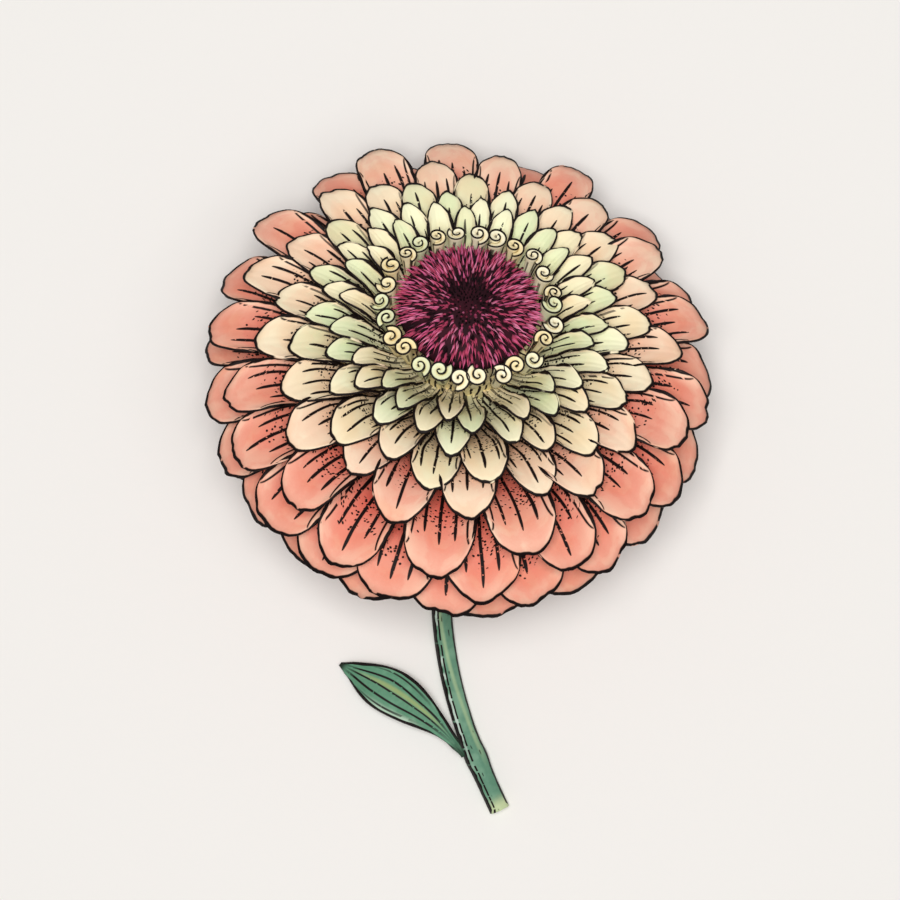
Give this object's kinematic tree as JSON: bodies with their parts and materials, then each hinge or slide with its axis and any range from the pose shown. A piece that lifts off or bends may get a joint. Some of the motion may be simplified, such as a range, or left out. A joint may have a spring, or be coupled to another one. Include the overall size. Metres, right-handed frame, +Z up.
{
  "type": "cut zinnia flower",
  "caption": "Cut zinnia lying face up: a double bloom of layered coral, peach and lime petals round a ring of cream scrolls and a burgundy disc, on a short green stem with one leaf.",
  "frame": {"origin": "the middle of the bounding box's base, on the surface that the flower lies on", "axes": "+Z up from that surface, +Y from the cut end of the stem towards the bloom, +X to the right seen from above"},
  "size_m": [0.0818, 0.112, 0.0569],
  "materials": {
    "coral_petals": "soft matte petal",
    "peach_petals": "soft matte petal",
    "lime_petals": "soft matte petal",
    "cream_rolls": "soft matte petal",
    "burgundy_disc": "matte, like short hair",
    "calyx": "matte leaf green",
    "stem": "matte green skin",
    "leaf": "matte leaf green"
  },
  "bodies": {
    "root": {"coral_petals": "coral_petals", "peach_petals": "peach_petals", "lime_petals": "lime_petals", "cream_rolls": "cream_rolls", "burgundy_disc": "burgundy_disc", "calyx": "calyx", "stem": "stem", "leaf": "leaf"}
  },
  "joints": []
}
